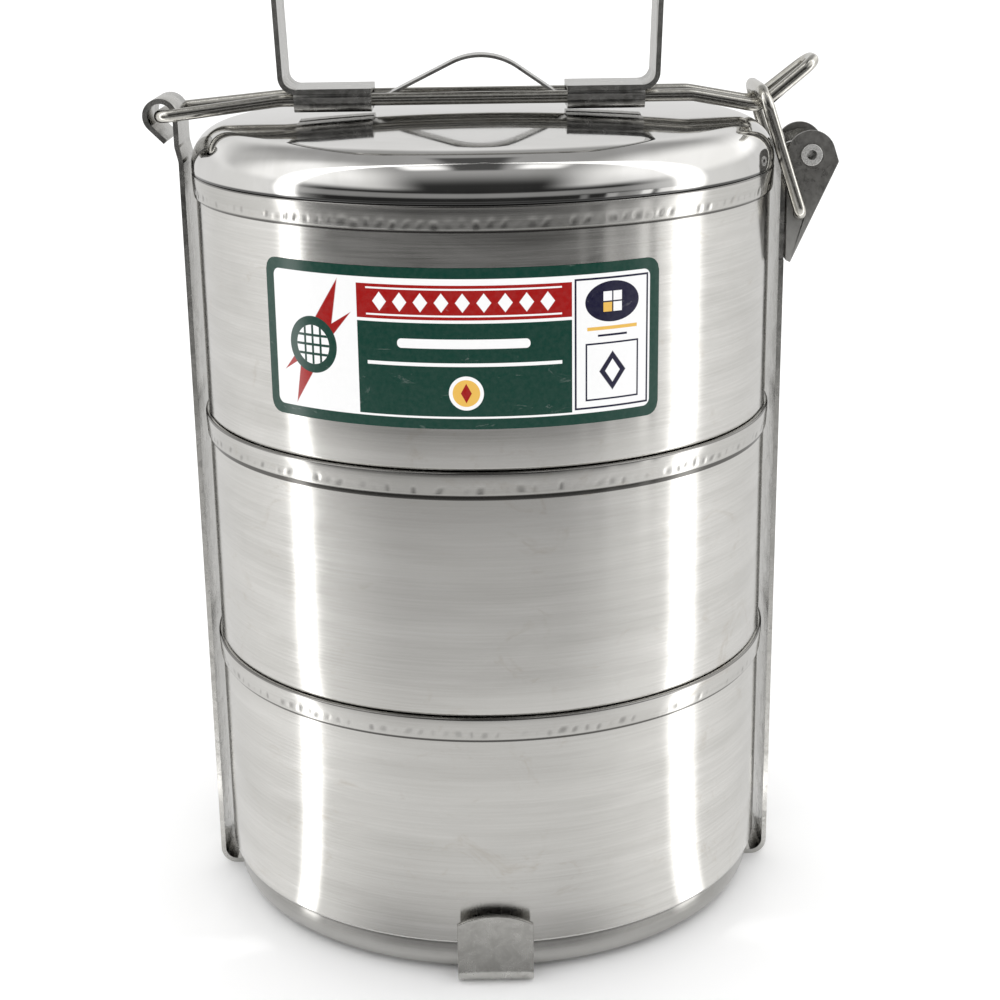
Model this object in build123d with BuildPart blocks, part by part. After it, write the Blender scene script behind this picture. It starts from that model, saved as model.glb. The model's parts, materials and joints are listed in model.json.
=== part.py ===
"""Three-tier tiffin carrier: nesting bowls and a lid, held in a strap frame by a hinged bail and a toggle latch.

Millimetres. The origin is under the middle of the base straps, +Z is up, +X is the latch side, -X the
bail's hinge side, and -Y the front, where the label is.
"""

import os
from math import atan2, cos, degrees, hypot, radians, sin, sqrt

from build123d import *

os.makedirs("parts", exist_ok=True)

# Bowls and lid, pressed from sheet
bowl_r = 70.0  # outside of a bowl's wall
sheet_t = 0.6
tier_pitch = 58.7  # from one rim to the next
spigot_h = 8.0  # stepped foot that nests in the mouth below
nest_gap = 1.0  # round the spigot inside a mouth
foot_corner_r = 3.5
dish_r = 53.0  # raised middle of the base
dish_h = 2.0
hem_h = 5.5  # folded band round the mouth
hem_out = 0.8  # how far the rim stands out of the wall
lid_h = 12.7
lid_edge_h = 1.2
lid_shoulder_r = 9.5
lid_plug_h = 4.0
bowl_names = ["bowl_bottom", "bowl_middle", "bowl_top"]

# Label on the top bowl
label_l = 94.0
label_h = 35.5
label_t = 0.12
label_drop = 13.4  # from the rim to its top edge
label_turn = -5.5  # degrees round from the front, towards the hinge side

# Strap frame
strap_w = 18.0
strap_t = 1.2
strap_gap = 1.2  # from a rim to a strap
strap_bend_r = 3.0
tab_h = 18.6
tab_arch = 2.3
joggle_gap = 0.05
joggle_run = 4.0
base_rivet_r = 2.0
base_rivet_head_r = 3.6
base_rivet_head_h = 0.5

# Bail wire and its eye on the frame
wire_r = 1.5
eye_gap = 1.5
eye_out = 3.8  # from the strap's outer face to the hinge axis
eye_drop = 3.1  # from the straight wires down to the hinge axis
eye_tail = 5.0
hinge_half_w = 12.0
tip_half_w = 4.6
neck_in = 6.4  # from the strap's outer face in to the neck
neck_dip = 3.0
rail_lead = 8.0  # straight rail past the right clip
finger_run = 13.0
finger_rise = 10.4

# Handle strap and its clips
handle_t = 1.2
handle_w = 18.6
handle_span = 90.8  # over the feet
handle_shift = -3.0
handle_h = 72.0
handle_splay = 2.0  # degrees
handle_corner_r = 13.0
foot_bend_r = 2.9
clip_l = 22.0
clip_slot = 3.0
clip_play = 0.1
lid_gap = 0.5

# Bow spring between the clips
bow_t = 0.7
bow_w = 8.0
bow_h = 10.5
bow_seat = 8.0
bow_lean = 4.0  # its peak stands nearer the latch
bow_top_r = 16.0
bow_foot_r = 5.0

# Toggle latch
pivot_out = 5.8  # from the strap's outer face
pivot_up = 1.7  # above the top rim
lever_tilt = 24.5  # degrees from the strap
lever_w = 20.0
lever_t = 1.2
lever_out = 6.8  # from the pivot to the lever's outer face
lever_l = 25.5
lever_head_r = 5.8
lever_gap = 0.25
ear_r = 4.4
ear_gap = 0.4
ear_top = 2.4  # above the pivot
ear_drop = 8.0  # below it
strap_top = 4.5  # strap above the top rim
link_along = 13.7  # the link's place on the lever
link_off = 3.5
link_side_gap = 0.9
link_bend_r = 1.8
link_top_r = 4.5
link_pin_l = 2.8
link_play = 0.12  # between the link's bar and the rising finger loop
pin_play = 0.06
pivot_r = 1.8
pivot_bore_r = 1.2
pivot_head_r = 2.6
pivot_head_t = 0.5
head_play = 0.1

# Places that follow from the sizes above
rim_r = bowl_r + hem_out
mouth_r = bowl_r - sheet_t
spigot_r = mouth_r - nest_gap
bowl_h = spigot_h + tier_pitch
rail_half_w = handle_w / 2 - handle_t - clip_play - wire_r
strap_in = rim_r + strap_gap
strap_out = strap_in + strap_t
strap_mid = strap_in + strap_t / 2
lid_z = strap_t + spigot_h + len(bowl_names) * tier_pitch
wire_z = lid_z + lid_h + lid_gap + handle_t + clip_play + wire_r
hinge_x = -(strap_out + eye_out)
hinge_z = wire_z - eye_drop
neck_x = strap_out - neck_in
neck_z = wire_z - neck_dip
tip_x = neck_x + finger_run
tip_z = neck_z + finger_rise
foot_left = handle_shift - handle_span / 2
foot_right = handle_shift + handle_span / 2
pivot_x = strap_out + pivot_out
pivot_z = lid_z + pivot_up


def on_lever(along, out):
    """A point on the closed lever: along it from the pivot, and out from the pivot, as (x, z)."""
    turn = radians(lever_tilt)
    return (
        pivot_x - along * sin(turn) + out * cos(turn),
        pivot_z - along * cos(turn) - out * sin(turn),
    )


link_x, link_z = on_lever(link_along, link_off)
bar_x = neck_x
bar_z = neck_z + (2 * wire_r + link_play) * hypot(finger_run, finger_rise) / finger_run


def swept_wire(points, radii):
    """A round wire through the points, with its corners bent to the radii, cut off square at y = 0."""
    with BuildPart() as wire:
        with BuildLine() as path:
            FilletPolyline(*points, radius=radii)
        with BuildSketch(Plane(origin=path.line @ 0, z_dir=path.line % 0)):
            Circle(wire_r)
        sweep(path=path.wires()[0])
        mirror(about=Plane.XZ)
    return wire.part


# Bowls: a dished base, a spigot, a straight wall and a folded mouth
for tier, bowl_name in enumerate(bowl_names):
    floor_z = strap_t + tier * tier_pitch
    with BuildPart() as bowl:
        with BuildSketch(Plane((0, 0, floor_z), x_dir=(1, 0, 0), z_dir=(0, -1, 0))):
            with BuildLine():
                FilletPolyline(
                    (0, dish_h + sheet_t / 2),
                    (dish_r, dish_h + sheet_t / 2),
                    (dish_r + 2 * dish_h, sheet_t / 2),
                    (spigot_r - sheet_t / 2, sheet_t / 2),
                    (spigot_r - sheet_t / 2, spigot_h + sheet_t / 2),
                    (bowl_r - sheet_t / 2, spigot_h + sheet_t / 2),
                    (bowl_r - sheet_t / 2, bowl_h - sheet_t),
                    radius=[2 * sheet_t, 2 * sheet_t, foot_corner_r, sheet_t / 2 + 0.1, sheet_t / 2 + 0.1],
                )
            trace(line_width=sheet_t)
            with BuildLine():
                lip = Polyline(
                    (mouth_r, bowl_h - hem_h),
                    (bowl_r + hem_out / 2, bowl_h - hem_h),
                    (rim_r, bowl_h - hem_h / 3),
                    (rim_r, bowl_h),
                    (mouth_r, bowl_h),
                    close=True,
                )
            make_face()
        revolve(axis=Axis.Z)
        fillet(bowl.edges().filter_by(GeomType.CIRCLE).group_by(Axis.Z)[-1].sort_by(SortBy.RADIUS)[-1], hem_out / 2)
    bowl.part.label = bowl_name
    export_step(bowl.part, f"parts/{bowl_name}.step")

# Lid: a low crown with a round shoulder, and a plug that sits in the top mouth
crown_r = ((rim_r - lid_shoulder_r) ** 2 + (lid_h - lid_edge_h) ** 2 - lid_shoulder_r**2) / (
    2 * (lid_h - lid_edge_h - lid_shoulder_r)
)
shoulder_turn = degrees(atan2(lid_edge_h - lid_h + crown_r, rim_r - lid_shoulder_r))
with BuildPart() as lid:
    for inset, mode in ((0, Mode.ADD), (sheet_t, Mode.SUBTRACT)):
        with BuildSketch(Plane((0, 0, lid_z), x_dir=(1, 0, 0), z_dir=(0, -1, 0))):
            with BuildLine():
                shoulder = CenterArc(
                    (rim_r - lid_shoulder_r, lid_edge_h), lid_shoulder_r - inset, 0, shoulder_turn
                )
                crown = CenterArc((0, lid_h - crown_r), crown_r - inset, shoulder_turn, 90 - shoulder_turn)
                Polyline(crown @ 1, (0, inset), (rim_r - inset, inset), shoulder @ 0)
            make_face()
        revolve(axis=Axis.Z, mode=mode)
    with BuildSketch(Plane.XY.offset(lid_z - lid_plug_h)):
        Circle(spigot_r)
    extrude(amount=lid_plug_h)
    with BuildSketch(Plane.XY.offset(lid_z - lid_plug_h)):
        Circle(spigot_r - sheet_t)
    extrude(amount=lid_plug_h + lid_edge_h, mode=Mode.SUBTRACT)
lid.part.label = "lid"
export_step(lid.part, "parts/lid.step")

# Label: a thin curved skin on the top bowl's wall
label_span = degrees(label_l / bowl_r)
with BuildPart() as label:
    with BuildSketch(Plane.XY.offset(lid_z - label_drop - label_h)):
        with BuildLine():
            CenterArc((0, 0), bowl_r + label_t / 2, -90 + label_turn - label_span / 2, label_span)
        trace(line_width=label_t)
    extrude(amount=label_h)
label.part.label = "label"
export_step(label.part, "parts/label.step")

# Long strap: the base, both sides, the rolled eye on the left and the latch's ears on the right
eye_r = wire_r + eye_gap + strap_t / 2
tail_start = 225.0
lean_z = hinge_z - 3 * eye_r
narrow_w = lever_w - 2 * lever_t - 2 * ear_gap
narrow_z = pivot_z - lever_l
with BuildPart() as frame_strap:
    with BuildSketch(Plane.XZ):
        with BuildLine():
            ring = CenterArc((hinge_x, hinge_z), eye_r, 0, tail_start)
            Line(ring @ 1, ring @ 1 + eye_tail * (ring % 1))
            FilletPolyline(
                ring @ 0,
                (hinge_x + eye_r, lean_z + eye_r),
                (-strap_mid, lean_z),
                (-strap_mid, strap_t / 2),
                (strap_mid, strap_t / 2),
                (strap_mid, lid_z + strap_top),
                radius=[eye_r, eye_r, strap_bend_r + strap_t / 2, strap_bend_r + strap_t / 2],
            )
        trace(line_width=strap_t)
    extrude(amount=strap_w / 2, both=True)
    with BuildSketch(Plane.XY.offset(narrow_z)):
        with Locations((strap_mid, 0)):
            Rectangle(strap_t, narrow_w)
    extrude(amount=lid_z + strap_top - narrow_z)
    for side in (-1, 1):
        with BuildSketch(Plane.XY.offset(narrow_z)):
            with Locations((strap_mid, side * (narrow_w + strap_w) / 2)):
                Rectangle(4 * strap_t, strap_w)
        extrude(amount=2 * lever_l, mode=Mode.SUBTRACT)
        with BuildSketch(Plane.XZ.offset(side * (narrow_w - strap_t) / 2)):
            with Locations((pivot_x, pivot_z)):
                Circle(ear_r)
            with Locations((strap_mid, pivot_z + ear_top)):
                Rectangle(strap_t, ear_top + ear_drop, align=(Align.CENTER, Align.MAX))
            make_hull()
        extrude(amount=strap_t / 2, both=True)
    with BuildSketch(Plane.XZ):
        with Locations((pivot_x, pivot_z)):
            Circle(pivot_r)
    extrude(amount=strap_w, both=True, mode=Mode.SUBTRACT)
    with BuildSketch(Plane.XY):
        Circle(base_rivet_r)
    extrude(amount=strap_t, mode=Mode.SUBTRACT)
frame_strap.part.label = "frame_strap"
export_step(frame_strap.part, "parts/frame_strap.step")

# Cross strap: two short tabs in front and behind, and a step up over the long strap
joggle_z = strap_t + joggle_gap
joggle_half = strap_w / 2 + joggle_gap + strap_t
arch_r = ((strap_w / 2) ** 2 + tab_arch**2) / (2 * tab_arch)
with BuildPart() as cross_strap:
    with BuildSketch(Plane.YZ):
        with BuildLine():
            FilletPolyline(
                (-strap_mid, tab_h),
                (-strap_mid, strap_t / 2),
                (-joggle_half - joggle_run, strap_t / 2),
                (-joggle_half, strap_t / 2 + joggle_z),
                (joggle_half, strap_t / 2 + joggle_z),
                (joggle_half + joggle_run, strap_t / 2),
                (strap_mid, strap_t / 2),
                (strap_mid, tab_h),
                radius=[strap_bend_r + strap_t / 2] + 4 * [strap_t] + [strap_bend_r + strap_t / 2],
            )
        trace(line_width=strap_t)
    extrude(amount=strap_w / 2, both=True)
    with BuildSketch(Plane.XZ):
        with Locations((0, tab_h - tab_arch)):
            Rectangle(strap_w + 2, 2 * tab_arch, align=(Align.CENTER, Align.MIN))
        with Locations((0, tab_h - arch_r)):
            Circle(arch_r, mode=Mode.SUBTRACT)
    extrude(amount=2 * strap_out, both=True, mode=Mode.SUBTRACT)
    with BuildSketch(Plane.XY):
        Circle(base_rivet_r)
    extrude(amount=2 * strap_t + 2 * joggle_gap, mode=Mode.SUBTRACT)
cross_strap.part.label = "cross_strap"
export_step(cross_strap.part, "parts/cross_strap.step")

# Base rivet: flush underneath, a low head inside
with BuildPart() as base_rivet:
    with BuildSketch(Plane.XY):
        Circle(base_rivet_r)
    extrude(amount=joggle_z + strap_t)
    with BuildSketch(Plane.XY.offset(joggle_z + strap_t)):
        Circle(base_rivet_head_r)
    extrude(amount=base_rivet_head_h, taper=40)
base_rivet.part.label = "base_rivet"
export_step(base_rivet.part, "parts/base_rivet.step")

# Bail: one closed wire loop, with two rails, a neck under the latch and a raised finger loop
bail = swept_wire(
    [
        (hinge_x, 0, hinge_z),
        (hinge_x, -hinge_half_w, hinge_z),
        (foot_left, -rail_half_w, wire_z),
        (foot_right + rail_lead, -rail_half_w, wire_z),
        (neck_x, -rail_half_w, neck_z),
        (tip_x, -tip_half_w, tip_z),
        (tip_x, 0, tip_z),
    ],
    [2 * wire_r, 8 * wire_r, 4 * wire_r, 4 * wire_r, 2.5 * wire_r],
)
bail.label = "bail_wire"
export_step(bail, "parts/bail_wire.step")

# Handle: one strap, bent in at its feet and folded round both rails
plate_z = wire_z + wire_r + clip_play + handle_t / 2
flap_z = wire_z - wire_r - clip_play - handle_t / 2
grip_z = plate_z + handle_h
splay = handle_h * sin(radians(handle_splay))
leg_left = foot_left + handle_t / 2
leg_right = foot_right - handle_t / 2
clip_y = (handle_w - handle_t) / 2
foot_r = foot_bend_r + handle_t / 2
with BuildPart() as handle:
    with BuildSketch(Plane.XZ):
        with BuildLine():
            FilletPolyline(
                (foot_left + clip_l, plate_z),
                (leg_left, plate_z),
                (leg_left - splay, grip_z),
                (leg_right + splay, grip_z),
                (leg_right, plate_z),
                (foot_right - clip_l, plate_z),
                radius=[foot_r, handle_corner_r, handle_corner_r, foot_r],
            )
        trace(line_width=handle_t)
    extrude(amount=handle_w / 2, both=True)
    for clip_x in (foot_left + foot_r, foot_right - clip_l):
        with BuildSketch(Plane.YZ.offset(clip_x)):
            with BuildLine():
                FilletPolyline(
                    (-clip_slot / 2, flap_z),
                    (-clip_y, flap_z),
                    (-clip_y, plate_z),
                    (clip_y, plate_z),
                    (clip_y, flap_z),
                    (clip_slot / 2, flap_z),
                    radius=1.4 * handle_t,
                )
            trace(line_width=handle_t)
        extrude(amount=clip_l - foot_r)
handle.part.label = "handle"
export_step(handle.part, "parts/handle.step")

# Bow spring: a thin strip with its ends held in the clips, under the rails' height
seat_z = flap_z + (handle_t + bow_t) / 2
bow_left = foot_left + clip_l
bow_right = foot_right - clip_l
bow_x = (bow_left + bow_right) / 2 + bow_lean
bow_slope = atan2(bow_h, (bow_right - bow_left) / 2)
bow_top_z = wire_z + bow_h + bow_top_r * (1 / cos(bow_slope) - 1)
with BuildPart() as bow_spring:
    with BuildSketch(Plane.XZ):
        with BuildLine():
            FilletPolyline(
                (bow_left - bow_seat, seat_z),
                (bow_left, seat_z),
                (bow_x, bow_top_z),
                (bow_right, seat_z),
                (bow_right + bow_seat, seat_z),
                radius=[bow_foot_r, bow_top_r, bow_foot_r],
            )
        trace(line_width=bow_t)
    extrude(amount=bow_w / 2, both=True)
bow_spring.part.label = "bow_spring"
export_step(bow_spring.part, "parts/bow_spring.step")

# Latch lever: a channel with two cheeks that straddle the narrow end of the strap
with BuildPart() as latch_lever:
    with BuildSketch(Plane.XZ):
        with Locations((pivot_x, pivot_z)):
            Circle(lever_head_r)
        with BuildLine():
            Polyline(
                on_lever(-lever_t, lever_out),
                on_lever(lever_l, lever_out),
                on_lever(lever_l, lever_out - lever_t),
                (strap_out + lever_gap, narrow_z + 3 * lever_t),
                (strap_out + lever_gap, pivot_z),
                close=True,
            )
        make_face()
        make_hull()
    extrude(amount=lever_w / 2, both=True)
    with BuildSketch(Plane.XZ):
        with BuildLine():
            Polyline(
                on_lever(-lever_l, lever_out - lever_t),
                on_lever(2 * lever_l, lever_out - lever_t),
                on_lever(2 * lever_l, -lever_l),
                on_lever(-lever_l, -lever_l),
                close=True,
            )
        make_face()
    extrude(amount=lever_w / 2 - lever_t, both=True, mode=Mode.SUBTRACT)
    with BuildSketch(Plane.XZ):
        with Locations((pivot_x, pivot_z)):
            Circle(pivot_r + pin_play)
        with Locations((link_x, link_z)):
            Circle(wire_r + pin_play)
    extrude(amount=lever_w, both=True, mode=Mode.SUBTRACT)
latch_lever.part.label = "latch_lever"
export_step(latch_lever.part, "parts/latch_lever.step")

# Pivot rivet: hollow, tight in the strap's ears, with a head outside each cheek
pivot_plane = Plane((pivot_x, 0, pivot_z), x_dir=(1, 0, 0), z_dir=(0, -1, 0))
head_y = lever_w / 2 + head_play
with BuildPart() as latch_rivet:
    with BuildSketch(pivot_plane):
        Circle(pivot_r)
    extrude(amount=head_y, both=True)
    for side in (-1, 1):
        with BuildSketch(pivot_plane.offset(side * (head_y + pivot_head_t / 2))):
            Circle(pivot_head_r)
        extrude(amount=pivot_head_t / 2, both=True)
    with BuildSketch(pivot_plane):
        Circle(pivot_bore_r)
    extrude(amount=lever_w, both=True, mode=Mode.SUBTRACT)
    fillet(latch_rivet.edges().filter_by(GeomType.CIRCLE).sort_by(SortBy.RADIUS)[-4:], 0.4 * pivot_head_t)
latch_rivet.part.label = "latch_rivet"
export_step(latch_rivet.part, "parts/latch_rivet.step")

# Latch link: a wire bow whose ends turn in through the cheeks and whose bar holds the bail's neck down
leg_y = lever_w / 2 + link_side_gap + wire_r
link = swept_wire(
    [
        (link_x, -(lever_w / 2 - link_pin_l), link_z),
        (link_x, -leg_y, link_z),
        (bar_x, -leg_y, bar_z),
        (bar_x, 0, bar_z),
    ],
    [link_bend_r, link_top_r],
)
link.label = "latch_link"
export_step(link, "parts/latch_link.step")
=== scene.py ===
"""Looks of the three-tier steel tiffin carrier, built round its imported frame. Metres, +Z up, front -Y."""

import json
import random
from math import atan2, cos, pi, radians, sin, sqrt, tan

import bpy
from mathutils import Matrix, Vector


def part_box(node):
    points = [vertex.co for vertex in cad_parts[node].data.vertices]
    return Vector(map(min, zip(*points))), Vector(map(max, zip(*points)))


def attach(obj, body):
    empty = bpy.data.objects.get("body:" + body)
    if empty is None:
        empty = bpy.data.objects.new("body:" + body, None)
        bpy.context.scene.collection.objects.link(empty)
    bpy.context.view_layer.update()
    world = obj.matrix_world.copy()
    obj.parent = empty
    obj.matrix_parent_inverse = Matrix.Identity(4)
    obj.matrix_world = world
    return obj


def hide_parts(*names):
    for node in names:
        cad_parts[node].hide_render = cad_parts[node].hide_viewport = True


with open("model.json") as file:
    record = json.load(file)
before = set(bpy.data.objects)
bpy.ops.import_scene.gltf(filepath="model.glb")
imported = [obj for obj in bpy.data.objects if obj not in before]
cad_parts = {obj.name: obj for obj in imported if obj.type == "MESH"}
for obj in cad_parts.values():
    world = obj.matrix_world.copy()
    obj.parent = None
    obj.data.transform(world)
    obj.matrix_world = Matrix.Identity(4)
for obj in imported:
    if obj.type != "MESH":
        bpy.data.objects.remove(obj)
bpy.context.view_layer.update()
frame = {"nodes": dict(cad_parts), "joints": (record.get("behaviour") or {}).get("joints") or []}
nodes = frame["nodes"]
MM = 0.001

# Sizes in millimetres. SHEET is the bowls' and the lid's metal, STRAP the handle's
SHEET = 0.6
STRAP = 1.2
WIRE_R = 1.5

# Bowls: the folded hem stands out from the wall, the foot nests in the mouth below, the bottom is dished up
HEM_H = 5.5
HEM_OUT = 0.8
SPIGOT_H = 8.0
NEST_GAP = 1.0
FOOT_CORNER = 3.5
DISH_R = 53.0
DISH_H = 2.0

# Crimping dents in a hem
DENTS = 148
DENT_CELLS = 7  # mesh steps along one dent
DENT_DEPTH = 0.10

# Lid: height over its lower edge, the straight part of that edge, the shoulder's radius, the plug under it
LID_H = 12.7
LID_EDGE = 1.2
LID_SHOULDER = 9.5
LID_PLUG = 4.0

LABEL_CORNER = 3.0
LABEL_THICK = 0.1

# Bail: the rails' height over the hinge bar, the clips that hold them, the neck's place behind and under the
# finger loop's tip, and the loop's half width
RAIL_RISE = 3.1
CLIP_GAP = 0.1
CLIP_LEFT = -48.4
CLIP_RIGHT = 42.4
CLIP_CLEAR = 8.0
NECK_BACK = 13.0
NECK_DROP = 10.4
LOOP_HALF = 4.6

# Latch link: how far from the middle its turned-in ends stop
PIN_END = 7.2

# Mesh steps: round a bowl or the lid, round a wire, along a wire's bend, round the studio
TURNS = 192
WIRE_SIDES = 32
BEND_STEPS = 10
ROOM_TURNS = 96


# ---------------------------------------------------------------- shading helpers

class Field:
    """A number that varies over a surface, worked out by Math nodes."""

    def __init__(self, tree, socket):
        self.tree = tree
        self.socket = socket

    def math(self, operation, *others):
        node = self.tree.nodes.new("ShaderNodeMath")
        node.operation = operation
        for slot, value in zip(node.inputs, (self, *others)):
            if isinstance(value, Field):
                self.tree.links.new(value.socket, slot)
            else:
                slot.default_value = value
        return Field(self.tree, node.outputs[0])

    def __add__(self, other):
        return self.math("ADD", other)

    def __sub__(self, other):
        return self.math("SUBTRACT", other)

    def __mul__(self, other):
        return self.math("MULTIPLY", other)

    def smaller(self, other):
        return self.math("MINIMUM", other)

    def larger(self, other):
        return self.math("MAXIMUM", other)

    def size(self):
        return self.math("ABSOLUTE")

    def flip(self):
        return self.math("MULTIPLY_ADD", -1.0, 1.0)

    def rise(self, low, high, start=0.0, end=1.0):
        """Goes smoothly from start at low to end at high, and stays there."""
        node = self.tree.nodes.new("ShaderNodeMapRange")
        node.interpolation_type = "SMOOTHSTEP"
        self.tree.links.new(self.socket, node.inputs["Value"])
        for name, value in (("From Min", low), ("From Max", high), ("To Min", start), ("To Max", end)):
            node.inputs[name].default_value = value
        return Field(self.tree, node.outputs["Result"])

    def within(self, low, high, soft):
        """1 between low and high, 0 outside, with a soft edge."""
        return self.rise(low - soft, low + soft) * self.rise(high - soft, high + soft).flip()


class Surface:
    """A new material: its shader, and the fields and colours that drive it."""

    def __init__(self, name):
        self.material = bpy.data.materials.new(name)
        self.material.use_nodes = True
        self.tree = self.material.node_tree
        self.shader = self.tree.nodes["Principled BSDF"]
        self.place = self.new("ShaderNodeTexCoord").outputs["Object"]

    def new(self, kind):
        return self.tree.nodes.new(kind)

    def link(self, value, slot):
        self.tree.links.new(value.socket if isinstance(value, Field) else value, slot)

    def set(self, **values):
        for name, value in values.items():
            self.shader.inputs[name.replace("_", " ")].default_value = value

    def axes(self, socket=None):
        """The three numbers of a vector, as fields."""
        node = self.new("ShaderNodeSeparateXYZ")
        self.link(socket or self.place, node.inputs[0])
        return [Field(self.tree, out) for out in node.outputs]

    def noise(self, stretch, detail=2.0, roughness=0.5, distortion=0.0, seed=0.0):
        """Noise between 0 and 1, with this many features per metre along each axis."""
        spread = self.new("ShaderNodeMapping")
        spread.inputs["Scale"].default_value = stretch
        spread.inputs["Location"].default_value = (seed, seed, seed)
        self.link(self.place, spread.inputs["Vector"])
        node = self.new("ShaderNodeTexNoise")
        node.inputs["Scale"].default_value = 1.0
        node.inputs["Detail"].default_value = detail
        node.inputs["Roughness"].default_value = roughness
        node.inputs["Distortion"].default_value = distortion
        self.link(spread.outputs[0], node.inputs["Vector"])
        return Field(self.tree, node.outputs[0])

    def painted(self, name):
        """A number painted on the mesh's points."""
        node = self.new("ShaderNodeAttribute")
        node.attribute_name = name
        return Field(self.tree, node.outputs["Fac"])

    def mix(self, field, low, high):
        """The colour low where the field is 0, and high where it is 1."""
        node = self.new("ShaderNodeMix")
        node.data_type = "RGBA"
        node.clamp_factor = True
        self.link(field, node.inputs["Factor"])
        for slot, value in ((node.inputs[6], low), (node.inputs[7], high)):
            if isinstance(value, tuple):
                slot.default_value = (*value, 1.0)
            else:
                self.link(value, slot)
        return node.outputs[2]

    def bump(self, field, height):
        """Relief of this height in metres where the field goes from 0 to 1."""
        node = self.new("ShaderNodeBump")
        node.inputs["Distance"].default_value = height
        self.link(field, node.inputs["Height"])
        self.link(node.outputs["Normal"], self.shader.inputs["Normal"])

    def round_grain(self, amount):
        """Fine scratches that run round the Z axis, so that highlights stretch up and down."""
        tangent = self.new("ShaderNodeTangent")
        tangent.direction_type = "RADIAL"
        tangent.axis = "Z"
        self.link(tangent.outputs[0], self.shader.inputs["Tangent"])
        self.set(Anisotropic=amount, Anisotropic_Rotation=0.25)


# ---------------------------------------------------------------- materials

STEEL = (0.665, 0.657, 0.637)
STEEL_DULL = (0.520, 0.512, 0.490)


def bowl_steel():
    """Sheet steel polished on a lathe: fine rings, cloudy smudges and a few stains, with painted shade in its
    folds, its step and its dents.
    """
    s = Surface("brushed_sheet_steel")
    s.set(Metallic=1.0)
    rings = s.noise((34, 34, 2600), 3, 0.6)
    bands = s.noise((16, 16, 160), 3, 0.55, seed=7)
    smudge = s.noise((26, 26, 60), 4, 0.6, 0.6, seed=3)
    stain = s.noise((60, 60, 80), 5, 0.75, 1.4, seed=11).rise(0.56, 0.72)
    tone = (rings.rise(0.3, 0.7) * 0.3 + bands.rise(0.35, 0.65) * 0.35 + smudge.rise(0.3, 0.7) * 0.35)
    clean = s.mix(tone, STEEL_DULL, STEEL)
    stained = s.mix(stain * 0.35, clean, (0.46, 0.42, 0.36))
    # Painted shade: the colour goes toward near black by the number painted on the mesh's points
    s.link(s.mix(s.painted("grime_and_shade"), stained, (0.035, 0.033, 0.030)), s.shader.inputs["Base Color"])
    rough = rings.rise(0.3, 0.7) * 0.03 + smudge.rise(0.35, 0.7) * 0.05 + 0.15
    s.link(rough, s.shader.inputs["Roughness"])
    s.round_grain(0.84)
    s.bump(rings, 0.0000016)
    return s.material


def lid_steel(edge):
    """Mirror-polished sheet with faint rings and fingermarks, and painted shade, near black, below the edge's
    height.
    """
    s = Surface("mirror_sheet_steel")
    s.set(Metallic=1.0)
    smudge = s.noise((45, 45, 45), 4, 0.6, 0.8, seed=5)
    x, y, z = s.axes()
    reach = (x * x + y * y).math("SQRT")
    ring = s.noise((3, 3, 3), 1, seed=2) * 0.004 + reach
    wave = (ring * 5200.0).math("SINE") * 0.5 + 0.5
    clean = s.mix(smudge.rise(0.3, 0.7), (0.60, 0.595, 0.58), (0.67, 0.665, 0.655))
    # Painted shade: near black on the rim's underside and the plug, in the gap where the lid sits on the bowl
    film_and_shade = (z * 1000.0).rise(edge + 0.45, edge + 0.85).flip()
    s.link(s.mix(film_and_shade * 0.93, clean, (0.04, 0.04, 0.04)), s.shader.inputs["Base Color"])
    s.link(smudge.rise(0.35, 0.75) * 0.04 + wave * 0.010 + 0.035, s.shader.inputs["Roughness"])
    s.bump(s.noise((30, 30, 30), 2, seed=9), 0.00004)
    return s.material


def strap_steel():
    """Flat strap as it comes off the roll: a mottled satin."""
    s = Surface("rolled_strap_steel")
    s.set(Metallic=1.0)
    mottle = s.noise((260, 260, 260), 5, 0.65, 0.5)
    cloud = s.noise((60, 60, 60), 3, 0.5, 0.3, seed=4)
    grain = s.noise((1400, 1400, 60), 2, 0.6, seed=8)
    tone = mottle.rise(0.35, 0.65) * 0.5 + cloud.rise(0.3, 0.7) * 0.5
    clean = s.mix(tone, (0.42, 0.415, 0.395), (0.62, 0.612, 0.59))
    soot = s.noise((420, 420, 420), 5, 0.75, 0.8, seed=17).rise(0.50, 0.62) * cloud.rise(0.38, 0.58)
    s.link(s.mix(soot * 0.32, clean, (0.12, 0.118, 0.11)), s.shader.inputs["Base Color"])
    s.link(mottle.rise(0.3, 0.7) * 0.10 + grain.rise(0.3, 0.7) * 0.04 + 0.17, s.shader.inputs["Roughness"])
    s.bump(mottle, 0.000012)
    return s.material


def latch_steel():
    """Pressed steel of the lever and the clips, with die marks and a dull edge."""
    s = Surface("pressed_steel")
    s.set(Metallic=1.0)
    mottle = s.noise((420, 420, 420), 4, 0.6, 0.4, seed=6)
    drawn = s.noise((120, 1600, 90), 2, 0.6, seed=1)
    color = s.mix(mottle.rise(0.3, 0.7), (0.36, 0.355, 0.34), (0.52, 0.515, 0.50))
    s.link(color, s.shader.inputs["Base Color"])
    s.link(mottle.rise(0.3, 0.7) * 0.08 + drawn.rise(0.3, 0.7) * 0.05 + 0.16, s.shader.inputs["Roughness"])
    s.bump(mottle, 0.00002)
    return s.material


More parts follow.
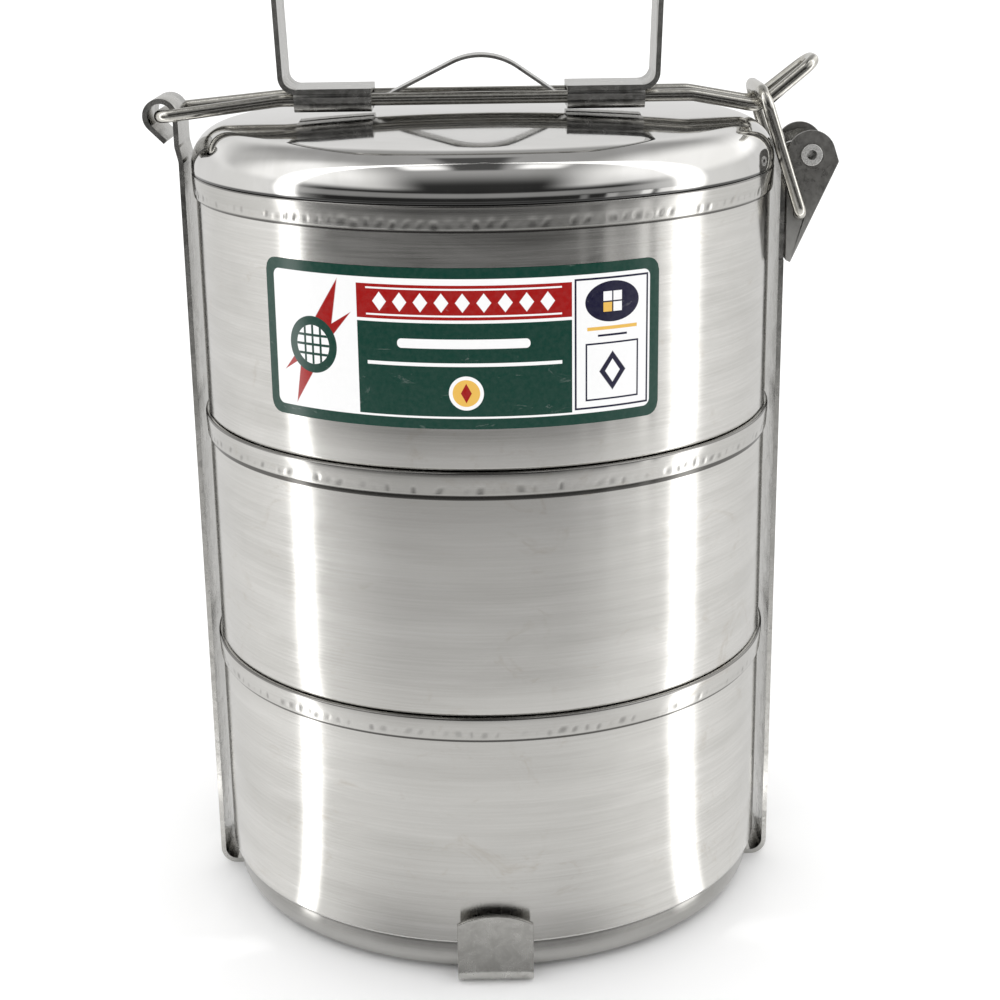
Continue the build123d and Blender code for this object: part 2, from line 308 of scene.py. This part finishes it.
def lever_steel():
    """Pressed steel gone dull: grey film over the metal, with rubbed patches, and painted light that makes
    its lower part lighter than its top.
    """
    s = Surface("dull_pressed_steel")
    film_and_shade = s.noise((700, 700, 700), 5, 0.65, 0.6, seed=15).rise(0.3, 0.7)
    rubbed = s.noise((110, 110, 110), 3, 0.6, 0.4, seed=16).rise(0.45, 0.75)
    # Painted light: the lever's lower part lighter and its top darker, by height
    low = s.axes()[2].rise(0.155, 0.182).flip()
    dark = s.mix(film_and_shade, (0.135, 0.132, 0.124), (0.19, 0.186, 0.176))
    s.link(s.mix(low, dark, (0.46, 0.455, 0.44)), s.shader.inputs["Base Color"])
    s.link(film_and_shade * -0.04 + rubbed * 0.06 + 0.62, s.shader.inputs["Metallic"])
    s.link(film_and_shade * 0.12 + rubbed * -0.08 + 0.30, s.shader.inputs["Roughness"])
    s.bump(film_and_shade, 0.000008)
    return s.material


def rivet_steel():
    """Bright turned rivet with fine rings and light pitting."""
    s = Surface("turned_rivet_steel")
    pits = s.noise((1500, 1500, 1500), 4, 0.6, seed=18)
    color = s.mix(pits.rise(0.3, 0.7), (0.46, 0.455, 0.44), (0.66, 0.655, 0.64))
    s.link(color, s.shader.inputs["Base Color"])
    s.link(pits.rise(0.3, 0.7) * 0.15 + 0.50, s.shader.inputs["Metallic"])
    s.link(pits.rise(0.3, 0.7) * 0.10 + 0.22, s.shader.inputs["Roughness"])
    s.bump(pits, 0.000006)
    return s.material


def wire_steel():
    """Drawn wire: bright, with faint scuffs and a little grime."""
    s = Surface("drawn_wire_steel")
    s.set(Metallic=1.0)
    scuff = s.noise((900, 900, 900), 3, 0.6, 0.6, seed=12)
    grime_and_shade = s.noise((90, 90, 90), 4, 0.6, seed=13).rise(0.5, 0.8)
    clean = s.mix(scuff.rise(0.3, 0.7), (0.50, 0.488, 0.45), (0.60, 0.588, 0.555))
    s.link(s.mix(grime_and_shade * 0.5, clean, (0.40, 0.38, 0.33)), s.shader.inputs["Base Color"])
    s.link(scuff.rise(0.35, 0.7) * 0.04 + grime_and_shade * 0.06 + 0.16, s.shader.inputs["Roughness"])
    s.bump(scuff, 0.000002)
    return s.material


GREEN = (0.001, 0.036, 0.024)
WHITE = (0.80, 0.80, 0.80)
RED = (0.29, 0.001, 0.0005)
NAVY = (0.005, 0.004, 0.026)
GOLD = (0.70, 0.42, 0.08)


def label_print(length, height):
    """Green-edged printed label with plain shapes in its fields.

    Its UV map is in metres from the lower left corner. The layout is in millimetres from the middle.
    """
    s = Surface("printed_label")
    uv = s.new("ShaderNodeUVMap")
    uv.uv_map = "flat"
    u, v, _ = s.axes(uv.outputs[0])
    x = u * 1000.0 - length / 2
    y = v * 1000.0 - height / 2
    soft = 0.04

    def box(cx, cy, w, h, corner=0.0):
        """A box of this width and height, with its corners rounded."""
        dx = ((x - cx).size() - (w / 2 - corner)).larger(0.0)
        dy = ((y - cy).size() - (h / 2 - corner)).larger(0.0)
        return (dx * dx + dy * dy).math("SQRT").rise(corner, corner + 2 * soft).flip()

    def oval(cx, cy, rx, ry):
        """An oval with these radii."""
        dx = (x - cx) * (1 / rx)
        dy = (y - cy) * (1 / ry)
        return (dx * dx + dy * dy).math("SQRT").rise(1 - soft / rx, 1 + soft / rx).flip()

    def slant(cx, cy, w, h, lean):
        """A lozenge with this half width and half height, whose top leans to the right."""
        dy = (y - cy) * (1 / h)
        dx = (x - cx - (y - cy) * lean) * (1 / w)
        return (dx.size() + dy.size()).rise(1 - soft, 1 + soft).flip()

    middle = 1.8
    banner_y = 10.2
    ink = [
        (box(0, 0, length - 5.0, height - 4.8, 1.6), WHITE),
        (box(middle, banner_y, 47.5, 7.5), RED),
        (box(middle, -4.6, 47.5, 20.6), GREEN),
    ]
    # Banner: a row of plain lozenges between two rules
    for k in range(-4, 5):
        ink.append((slant(middle + 4.6 * k, banner_y, 1.6, 2.1, 0.0), WHITE))
    for rule_y in (13.1, 7.3):
        ink.append((box(middle, rule_y, 43.0, 0.3), WHITE))
    # Panel: two rules and a round seal
    seal, seal_y = middle + 0.5, -9.7
    ink += [
        (box(middle, 1.2, 29.0, 2.0, 0.9), WHITE),
        (box(middle, -3.4, 43.0, 0.7), WHITE),
        (oval(seal, seal_y, 3.8, 3.8), WHITE),
        (oval(seal, seal_y, 3.0, 3.0), GOLD),
        (slant(seal, seal_y, 1.2, 2.2, 0.0), RED),
    ]
    # Left field: a red spark behind a green ring with a grid in it
    spark = -length / 2 + 14.2
    disc, disc_y, disc_r = -length / 2 + 13.3, -0.8, 4.4
    ink += [
        (slant(spark, 0.0, 3.6, 14.6, 0.42), RED),
        (slant(spark, 0.0, 3.0, 7.4, 1.26), RED),
        (oval(disc, disc_y, disc_r + 2.0, disc_r + 2.0), GREEN),
        (oval(disc, disc_y, disc_r, disc_r), WHITE),
    ]
    for line in (-2.1, 0.0, 2.1):
        ink.append((oval(disc, disc_y, disc_r, disc_r) * box(disc, disc_y + line, 9.0, 0.5), GREEN))
        ink.append((oval(disc, disc_y, disc_r, disc_r) * box(disc + line, disc_y, 0.5, 9.0), GREEN))
    # Right field: a ruled frame with an oval of small squares, two rules and a lozenge in a box
    right = length / 2 - 11.9
    badge_y = 9.1
    square = 1.2
    ink += [
        (box(right, 0.0, 17.8, 29.0), NAVY),
        (box(right, 0.0, 16.9, 28.1), WHITE),
        (oval(right, badge_y, 6.5, 4.5), NAVY),
    ]
    for dx, dy, tint in ((-1, 1, WHITE), (1, 1, WHITE), (-1, -1, GOLD), (1, -1, WHITE)):
        ink.append((box(right + dx * square, badge_y + dy * square, 2.0, 2.0), tint))
    lozenge_y = -6.3
    ink += [
        (box(right, 3.3, 12.0, 0.7), GOLD),
        (box(right, 1.7, 7.0, 0.4), NAVY),
        (box(right, lozenge_y, 12.8, 12.8), NAVY),
        (box(right, lozenge_y, 12.0, 12.0), WHITE),
        (slant(right, lozenge_y, 3.2, 4.4, 0.0), NAVY),
        (slant(right, lozenge_y, 1.8, 2.6, 0.0), WHITE),
    ]

    color = GREEN
    for mask, tint in ink:
        color = s.mix(mask, color, tint)
    paper = s.noise((900, 900, 900), 3, 0.6)
    scuff = s.noise((120, 120, 300), 4, 0.65, 0.8, seed=21).rise(0.62, 0.75)
    color = s.mix(paper.rise(0.2, 0.8) * 0.03, color, (0.35, 0.36, 0.34))
    s.link(s.mix(scuff * 0.10, color, (0.72, 0.72, 0.70)), s.shader.inputs["Base Color"])
    s.link(paper.rise(0.3, 0.7) * 0.06 + scuff * 0.12 + 0.20, s.shader.inputs["Roughness"])
    s.set(Coat_Weight=0.30, Coat_Roughness=0.08, Specular_IOR_Level=0.30)
    s.bump(paper, 0.000003)
    return s.material


# ---------------------------------------------------------------- mesh helpers

def piece(name, points, faces, material, body, node, sharp=35):
    """A smooth object from mesh data in millimetres. It rides on its body and stands for its CAD node."""
    mesh = bpy.data.meshes.new(name)
    mesh.from_pydata([tuple(c * MM for c in p) for p in points], [], faces)
    mesh.update()
    mesh.shade_smooth()
    mesh.set_sharp_from_angle(angle=radians(sharp))
    mesh.materials.append(material)
    obj = bpy.data.objects.new(name, mesh)
    bpy.context.scene.collection.objects.link(obj)
    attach(obj, body)
    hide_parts(node)
    return obj


def arc(center, radius, start, end, steps):
    """Points on an arc in a plane, from start to end degrees."""
    turns = [radians(start + (end - start) * i / steps) for i in range(steps + 1)]
    return [(center[0] + radius * cos(t), center[1] + radius * sin(t)) for t in turns]


def revolve(outline, steps):
    """Points and faces of an (r, z) outline turned round Z. A point on the axis becomes one vertex."""
    points, rings = [], []
    for r, z in outline:
        if r < 1e-6:
            rings.append([len(points)] * steps)
            points.append((0, 0, z))
        else:
            rings.append(list(range(len(points), len(points) + steps)))
            points += [(r * cos(2 * pi * k / steps), r * sin(2 * pi * k / steps), z) for k in range(steps)]
    faces = []
    for low, high in zip(rings, rings[1:]):
        for k in range(steps):
            n = (k + 1) % steps
            corners = tuple(dict.fromkeys((low[k], low[n], high[n], high[k])))
            if len(corners) > 2:
                faces.append(corners)
    return points, faces


def bent(points, radii):
    """A line through 3-D points with its corners rounded to the radii, as a list of vectors."""
    points = [Vector(p) for p in points]
    line = [points[0]]
    for before, corner, after, radius in zip(points, points[1:], points[2:], radii):
        back = (before - corner).normalized()
        ahead = (after - corner).normalized()
        half = back.angle(ahead) / 2
        reach = radius / tan(half)
        middle = corner + (back + ahead).normalized() * (radius / sin(half))
        start = corner + back * reach - middle
        end = corner + ahead * reach - middle
        sweep = start.angle(end)
        for i in range(BEND_STEPS + 1):
            share = i / BEND_STEPS
            line.append(middle + (start * sin((1 - share) * sweep) + end * sin(share * sweep)) / sin(sweep))
    line.append(points[-1])
    return line


def tube(line, loop=False):
    """Points and faces of a round wire along a line, closed in itself or with flat ends."""
    count = len(line)
    points, faces = [], []
    up = Vector((0.13, 0.31, 1.0)).normalized()
    for i, at in enumerate(line):
        ahead = line[(i + 1) % count] if loop or i + 1 < count else at
        behind = line[i - 1] if loop or i > 0 else at
        along = (ahead - behind).normalized()
        across = up.cross(along).normalized()
        up = along.cross(across)
        for k in range(WIRE_SIDES):
            turn = 2 * pi * k / WIRE_SIDES
            points.append(tuple(at + WIRE_R * (across * cos(turn) + up * sin(turn))))
    for i in range(count if loop else count - 1):
        here = i * WIRE_SIDES
        there = (i + 1) % count * WIRE_SIDES
        for k in range(WIRE_SIDES):
            n = (k + 1) % WIRE_SIDES
            faces.append((here + k, here + n, there + n, there + k))
    if not loop:
        faces.append(tuple(reversed(range(WIRE_SIDES))))
        faces.append(tuple(range(len(points) - WIRE_SIDES, len(points))))
    return points, faces


# ---------------------------------------------------------------- bowls

def bowl_body(node, shade):
    """One bowl without the crimped face of its hem, and the painted shade at its points.

    The shade is the width of the painted dark line of shade under the hem.
    """
    low, high = (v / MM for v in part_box(node))
    rim, top, floor = high.x, high.z, low.z
    wall = rim - HEM_OUT
    inside = wall - SHEET
    foot = wall - SHEET - NEST_GAP
    step = floor + SPIGOT_H
    dish = floor + DISH_H
    dish_end = DISH_R + 2 * DISH_H
    outline, painted_shade = [], []

    def run(points, shade_amount=0.0):
        """Carries the outline on through these points, with this much painted shade on them."""
        outline.extend(points)
        painted_shade.extend([shade_amount] * len(points))

    # Outside: the dished bottom, the foot's corner, the step, the wall and the hem's upper edge
    run([(0, dish), (DISH_R * 0.5, dish), (DISH_R - 1, dish)])
    run(arc((DISH_R - 1, dish - 1.2), 1.2, 90, 63.4, 3)[1:])
    run([(dish_end - 0.6, floor + 0.1), (dish_end + 0.4, floor)])
    # Painted shade: darker round the foot's corner and in the step's crevice, where the bowl sits on the
    # floor or nests in the one below
    run(arc((foot - FOOT_CORNER, floor + FOOT_CORNER), FOOT_CORNER, -90, 0, 8), 0.3)
    run([(foot, step - 1.2)], 0.45)
    run([(foot, step - 0.3), (foot + 0.3, step)], 0.9)
    corner = arc((wall - 1.0, step + 1.0), 1.0, -90, 0, 6)
    run(corner[:1])
    run(corner[1:2], 0.4)
    run(corner[2:])
    run([(wall, step + (top - step) * share) for share in (0.15, 0.4, 0.65)])
    run([(wall, top - HEM_H - drop) for drop in (shade + 1.0, shade + 0.15)])
    # Painted shade: a near-black line, as wide as shade, under the hem
    run([(wall, top - HEM_H - drop) for drop in (shade, 0.05)], 0.85)
    run([(wall - 0.02, top - HEM_H), (rim - 0.55, top - 0.45)])
    run(arc((rim - 0.55, top - 0.5), 0.5, 60, 90, 3))
    run(arc((inside + 0.35, top - 0.35), 0.35, 90, 180, 4))

    # Inside: the wall, the step, the foot's corner and the dished bottom
    run([(inside, top - HEM_H), (inside, (top + step) / 2), (inside, step + 1.4)])
    run(arc((inside - 0.6, step + 1.2), 0.6, 0, -90, 3))
    run([(foot - SHEET - 0.1, step + SHEET), (foot - SHEET, step + 0.2)])
    run(arc((foot - FOOT_CORNER, floor + FOOT_CORNER), FOOT_CORNER - SHEET, 0, -90, 8))
    run([(dish_end + 0.2, floor + SHEET)])
    run([(DISH_R - 0.4, dish + SHEET), (DISH_R * 0.5, dish + SHEET), (0, dish + SHEET)])

    points, faces = revolve(outline, TURNS)
    grime_and_shade = []
    for (r, _), shade_amount in zip(outline, painted_shade):
        grime_and_shade += [shade_amount] * (TURNS if r > 0 else 1)
    return points, faces, grime_and_shade


def hem_band(node, seed):
    """The folded band round a mouth, with the row of dents that its crimping rollers leave."""
    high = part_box(node)[1] / MM
    rim = high.x
    wall = rim - HEM_OUT
    steps = DENTS * DENT_CELLS
    chance = random.Random(seed)
    strength = [chance.uniform(0.1, 1.0) for _ in range(DENTS)]
    spread = [chance.uniform(1.3, 3.2) for _ in range(DENTS)]
    lean = [chance.uniform(-0.4, 1.2) for _ in range(DENTS)]
    rest = [chance.uniform(1.2, 1.9) for _ in range(DENTS)]

    # Radius and height over the fold: a small lip, the slightly leaning face, and the rounded rim
    face = wall + 0.60
    lip = 0.35
    shape = [(wall - 0.05, 0.02), (wall + 0.42, 0.0), (wall + 0.56, 0.12), (face, lip)]
    for h in (0.6, 0.85, 1.1, 1.35, 1.6, 1.85, 2.1, 2.4, 2.8, 3.65):
        shape.append((face + 0.20 * (h - lip) / 3.3, h))
    shape += [(rim, 4.3), (rim, 5.0)]
    shape += [(rim - 0.5 + r, 5.0 + z) for r, z in arc((0, 0), 0.5, 18, 90, 4)]

    # Painted shade: near black in the fold and on the rim, where the parts shade each other, and in the
    # dents; the rest of the band's face a little darker
    points, rings, grime_and_shade = [], [], []
    for r, h in shape:
        ring = []
        film_and_shade = 0.75 if h < 0.3 else 0.7 if h > 5.1 else 0.10
        for k in range(steps):
            turn = 2 * pi * k / steps
            which = k // DENT_CELLS
            across = (k % DENT_CELLS - DENT_CELLS // 2) / spread[which] - lean[which] * (h - 1.5) / 2
            along = (h - rest[which]) / 1.05
            hollow = strength[which] * max(0.0, 1 - across * across) * max(0.0, 1 - along * along)
            dip = DENT_DEPTH * hollow
            grime_and_shade.append(max(film_and_shade, 0.58 * hollow))
            ring.append(len(points))
            points.append(((r - dip) * cos(turn), (r - dip) * sin(turn), high.z - HEM_H + h))
        rings.append(ring)
    faces = []
    for below, above in zip(rings, rings[1:]):
        for k in range(steps):
            n = (k + 1) % steps
            faces.append((below[k], below[n], above[n], above[k]))
    return points, faces, grime_and_shade


def joined(*parts):
    """Several sets of points and faces as one."""
    points, faces = [], []
    for more_points, more_faces in parts:
        start = len(points)
        points += more_points
        faces += [tuple(i + start for i in face) for face in more_faces]
    return points, faces


bowl_look = bowl_steel()
for seed, (body, node, shade) in enumerate((
    ("bottom_bowl", "bowl_bottom", 0.5),
    ("middle_bowl", "bowl_middle", 1.0),
    ("top_bowl", "bowl_top", 0.4),
)):
    wall_points, wall_faces, wall_shade = bowl_body(node, shade)
    hem_points, hem_faces, hem_shade = hem_band(node, seed + 1)
    points, faces = joined((wall_points, wall_faces), (hem_points, hem_faces))
    obj = piece(node + "_sheet", points, faces, bowl_look, body, node)
    # The painted shade of the wall and the hem goes on the mesh's points
    grime_and_shade = obj.data.attributes.new("grime_and_shade", "FLOAT", "POINT")
    grime_and_shade.data.foreach_set("value", wall_shade + hem_shade)


# ---------------------------------------------------------------- lid

def lid_shape():
    """The lid's dome with its shoulder, its rim, and the plug that sits in the top bowl's mouth."""
    low, high = (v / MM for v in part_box("lid"))
    rim = high.x
    base = low.z + LID_PLUG
    lift = LID_H - LID_EDGE
    crown = ((rim - LID_SHOULDER) ** 2 + lift**2 - LID_SHOULDER**2) / (2 * (lift - LID_SHOULDER))
    turn = atan2(crown - lift, rim - LID_SHOULDER) * 180 / pi
    plug = rim - HEM_OUT - SHEET - NEST_GAP

    def skin(inset):
        """The dome and the shoulder in section, this far under the outer face."""
        line = arc((0, base + LID_H - crown), crown - inset, 90, turn, 20)
        line += arc((rim - LID_SHOULDER, base + LID_EDGE), LID_SHOULDER - inset, turn, 0, 24)[1:]
        return [(0, line[0][1])] + line[1:]

    outline = skin(0.0) + arc((rim - 0.3, base + 0.35), 0.3, 0, -90, 4)
    outline += [(plug, base + 0.1)]
    outline += arc((plug - 0.3, base - LID_PLUG + 0.3), 0.3, 0, -180, 6)
    outline += [(plug - SHEET, base + LID_EDGE)]
    outline += [p for p in reversed(skin(SHEET)) if p[0] < plug - SHEET]
    return revolve(outline, TURNS)


points, faces = lid_shape()
piece("lid_sheet", points, faces, lid_steel(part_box("lid")[0].z / MM + LID_PLUG), "lid", "lid")


# ---------------------------------------------------------------- label

def label_piece():
    """The label on the top bowl's wall, with round corners and a flat UV map."""
    low, high = (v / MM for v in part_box("label"))
    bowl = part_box("bowl_top")[1].x / MM - HEM_OUT
    turns = [atan2(v.co.y, v.co.x) for v in nodes["label"].data.vertices]
    start, span = min(turns), max(turns) - min(turns)
    length = span * bowl
    height = high.z - low.z
    across, up = 96, 24
    points, flat = [], []
    for j in range(up + 1):
        for i in range(across + 1):
            u = length * i / across
            v = height * j / up
            inset_u = max(LABEL_CORNER - min(u, length - u), 0)
            inset_v = max(LABEL_CORNER - min(v, height - v), 0)
            far = sqrt(inset_u**2 + inset_v**2)
            if far > LABEL_CORNER:
                pull = 1 - LABEL_CORNER / far
                u += inset_u * pull * (1 if u < length / 2 else -1)
                v += inset_v * pull * (1 if v < height / 2 else -1)
            flat.append((u * MM, v * MM))
            turn = start + u / bowl
            points.append(((bowl + LABEL_THICK) * cos(turn), (bowl + LABEL_THICK) * sin(turn), low.z + v))
    row = across + 1
    corners = [j * row + i for j in range(up) for i in range(across)]
    faces = [(c, c + 1, c + row + 1, c + row) for c in corners]
    obj = piece("label_sheet", points, faces, label_print(length, height), "top_bowl", "label")
    layer = obj.data.uv_layers.new(name="flat")
    for corner in obj.data.loops:
        layer.data[corner.index].uv = flat[corner.vertex_index]


label_piece()


# ---------------------------------------------------------------- wires

def bail_line():
    """The bail's closed line: hinge bar, straight rails, a dip under the latch, and the finger loop."""
    low, high = (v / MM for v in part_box("bail_wire"))
    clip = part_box("handle")[1] / MM
    hinge_x = low.x + WIRE_R
    hinge_z = low.z + WIRE_R
    half = high.y - WIRE_R
    rail_z = hinge_z + RAIL_RISE
    rail_y = clip.y - STRAP - CLIP_GAP - WIRE_R
    tip_x = high.x - WIRE_R
    tip_z = high.z - WIRE_R
    neck_x = tip_x - NECK_BACK
    neck_z = tip_z - NECK_DROP
    left = [
        (hinge_x, 0, hinge_z),
        (hinge_x, -half, hinge_z),
        (CLIP_LEFT, -rail_y, rail_z),
        (CLIP_RIGHT + CLIP_CLEAR, -rail_y, rail_z),
        (neck_x, -rail_y, neck_z),
        (tip_x, -LOOP_HALF, tip_z),
        (tip_x, 0, tip_z),
    ]
    near = bent(left, [2 * WIRE_R, 8 * WIRE_R, 8 * WIRE_R, 4 * WIRE_R, 2.5 * WIRE_R])
    far = [Vector((p.x, -p.y, p.z)) for p in reversed(near[1:-1])]
    return near + far


def link_line():
    """The latch link's line: two pins turned in, two legs and the bar over the bail."""
    low, high = (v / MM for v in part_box("latch_link"))
    pivot = next(Vector(j["pos_m"]) / MM for j in frame["joints"] if j["name"] == "link_swing")
    half = high.y - WIRE_R
    bar_x = low.x + WIRE_R
    bar_z = high.z - WIRE_R
    side = [(pivot.x, -PIN_END, pivot.z), (pivot.x, -half, pivot.z), (bar_x, -half, bar_z), (bar_x, 0, bar_z)]
    near = bent(side, [1.8, 4.5])
    far = [Vector((p.x, -p.y, p.z)) for p in reversed(near[:-1])]
    return near + far


wire_look = wire_steel()
points, faces = tube(bail_line(), loop=True)
piece("bail_loop", points, faces, wire_look, "bail", "bail_wire")
points, faces = tube(link_line())
piece("latch_bow", points, faces, wire_look, "latch_link", "latch_link", sharp=50)


# ---------------------------------------------------------------- parts that keep their CAD shape

def finish_node(name, material, edge):
    """A CAD node keeps its mesh. It gets a material, and a small round on its cut edges."""
    obj = nodes[name]
    obj.data.materials.clear()
    obj.data.materials.append(material)
    weld = obj.modifiers.new("weld", "WELD")
    weld.merge_threshold = 0.000002
    bevel = obj.modifiers.new("edge", "BEVEL")
    bevel.width = edge * MM
    bevel.segments = 2
    bevel.limit_method = "ANGLE"
    bevel.angle_limit = radians(40)
    bevel.use_clamp_overlap = True


strap_look = strap_steel()
latch_look = latch_steel()
for name in ("frame_strap", "cross_strap", "base_rivet"):
    finish_node(name, strap_look, 0.2)
for name in ("handle", "bow_spring"):
    finish_node(name, latch_look, 0.15)
finish_node("latch_lever", lever_steel(), 0.15)
finish_node("latch_rivet", rivet_steel(), 0.1)


# ---------------------------------------------------------------- stage, light and camera

def staged(name, points, faces, material):
    """A piece of the studio, from mesh data in metres."""
    mesh = bpy.data.meshes.new(name)
    mesh.from_pydata(points, [], faces)
    mesh.update()
    mesh.materials.append(material)
    obj = bpy.data.objects.new(name, mesh)
    bpy.context.scene.collection.objects.link(obj)
    return obj


def floor_look():
    """A pale, slightly uneven floor."""
    s = Surface("pale_floor")
    s.set(Base_Color=(0.93, 0.93, 0.93, 1), Roughness=0.7)
    s.bump(s.noise((300, 300, 300), 2), 0.00001)
    return s.material


FLOOR = 4.0  # half the floor's width
ROOM = 2.0  # radius of the round room that the steel mirrors
HOLE = 0.076  # hole in its floor, under the carrier
WALL = 0.07  # radius of the bowls that mirror it

# Window bars mirrored at the right: from and to degrees, softness and strength
BARS = (
    (36.5, 39.5, 0.8, 0.22),
    (47, 51.5, 0.8, 0.5),
    (51.5, 62, 1.0, 0.28),
    (62, 66.5, 0.8, 0.9),
    (67, 69, 0.6, -0.3),
    (70, 78, 1.0, 0.5),
)


def studio_look():
    """Glow of the room that the steel mirrors: dim in front and above, white behind, a lamp at each side.

    A point of the room is seen in the bowls' wall at the azimuth "bounce", in degrees from the front.
    """
    s = Surface("studio_shell")
    x, y, z = s.axes()
    reach = (x * x + y * y).math("SQRT")
    turn = x.math("ARCTAN2", y * -1.0)
    pull = (reach.math("POWER", -1.0) * WALL).smaller(0.98)
    bounce = turn + (pull * (turn * 0.5).math("SINE")).math("ARCSINE")
    bounce = turn + (pull * (bounce * 0.5).math("SINE")).math("ARCSINE")
    bounce = bounce * (180 / pi)
    side = (bounce + 4.0).size()
    height = z.math("ARCTAN2", reach) * (180 / pi)
    arch = z.math("ARCTAN2", y) * (180 / pi)
    wide = x.size() * (1 / ROOM)

    # Floor and walls, as the bowls see them
    away = reach.rise(0.35, 0.9)
    front = away * side.rise(56, 90).flip() + away.flip() * side.rise(28, 80).flip()
    ground = height.rise(0.3, 1.0).flip()
    near = reach.rise(0.08, 0.35, 1.03, 0.62)
    far = reach.rise(0.25, 0.95, 1.0, 0.04)
    sill = height.within(2, 12, 2) * 0.30
    front_floor = near * far + reach.within(0.33, 0.46, 0.03) * 0.15
    ahead = ground * front_floor + ground.flip() * (sill + 0.03)
    behind = side.rise(84, 165, 1.08, 0.80)
    low = front * ahead + front.flip() * behind

    # Ceiling, as the lid sees it
    roof = arch.rise(28, 46, 0.92, 0.46) * arch.rise(112, 150, 1.0, 0.08)
    lens = (x * (1 / ROOM)).within(-0.13, 0.08, 0.03) * arch.within(72, 111, 3)
    spots = wide.within(0.15, 0.32, 0.04) * arch.within(96, 108, 4)
    wings = wide.rise(0.32, 0.66) * bounce.rise(-125, -98, 0.25, 0.95)
    roof = roof - lens * 0.36 + spots * 1.2 + wings
    rise = height.rise(14, 26)
    glow = rise * roof + rise.flip() * low

    # Narrow lamps at both sides, and window bars on the far floor
    lamps = bounce.within(-85, -76, 3) * 2.4 + bounce.within(79, 92, 4) * 2.0
    bars = [bounce.within(start, end, soft) * strength for start, end, soft, strength in BARS]
    bars = sum(bars[1:], bars[0]) * away * ground
    glow = (glow + lamps + bars).larger(0.025)
    emit = s.new("ShaderNodeEmission")
    emit.inputs["Color"].default_value = (1.0, 0.995, 0.985, 1)
    s.link(glow, emit.inputs["Strength"])
    out = next(n for n in s.tree.nodes if n.type == "OUTPUT_MATERIAL")
    s.link(emit.outputs[0], out.inputs["Surface"])
    s.tree.nodes.remove(s.shader)
    s.material.cycles.emission_sampling = "NONE"
    return s.material


def shell():
    """Points and faces of the round room: a floor with a hole in the middle, and a dome over it."""
    outline = [(r, 0.001) for r in (HOLE, 0.4, 0.9, ROOM)] + arc((0, 0.002), ROOM, 0, 89.5, 40)
    return revolve(outline, ROOM_TURNS)


points = [(-FLOOR, -FLOOR, 0), (FLOOR, -FLOOR, 0), (FLOOR, FLOOR, 0), (-FLOOR, FLOOR, 0)]
staged("floor", points, [(0, 1, 2, 3)], floor_look())
points, faces = shell()
studio = staged("studio_shell", points, faces, studio_look())
studio.visible_camera = False
studio.visible_diffuse = False
studio.visible_shadow = False
studio.visible_transmission = False
studio.visible_volume_scatter = False

world = bpy.data.worlds.new("studio")
bpy.context.scene.world = world
world.use_nodes = True
world.node_tree.nodes["Background"].inputs["Color"].default_value = (1, 1, 1, 1)
world.node_tree.nodes["Background"].inputs["Strength"].default_value = 1.35
bpy.context.scene.view_settings.view_transform = "Standard"

# Camera: focal length in pixels of a picture this many pixels wide, angles in degrees, place in metres
PICTURE_PX = 1000
FOCAL_PX = 1923.0
SENSOR = 36
PITCH = 17.43
PAN = 0.36
ROLL = -0.81
CAMERA_AT = (0, -0.475, 0.2473)
camera = bpy.data.objects.new("camera", bpy.data.cameras.new("camera"))
bpy.context.scene.collection.objects.link(camera)
camera.data.sensor_width = SENSOR
camera.data.lens = SENSOR * FOCAL_PX / PICTURE_PX
camera.data.clip_start = 0.01
turn = Matrix.Rotation(radians(-PAN), 4, "Z")
tilt = Matrix.Rotation(radians(90 - PITCH), 4, "X")
roll = Matrix.Rotation(radians(ROLL), 4, "Z")
camera.matrix_world = Matrix.Translation(CAMERA_AT) @ turn @ tilt @ roll
bpy.context.scene.camera = camera
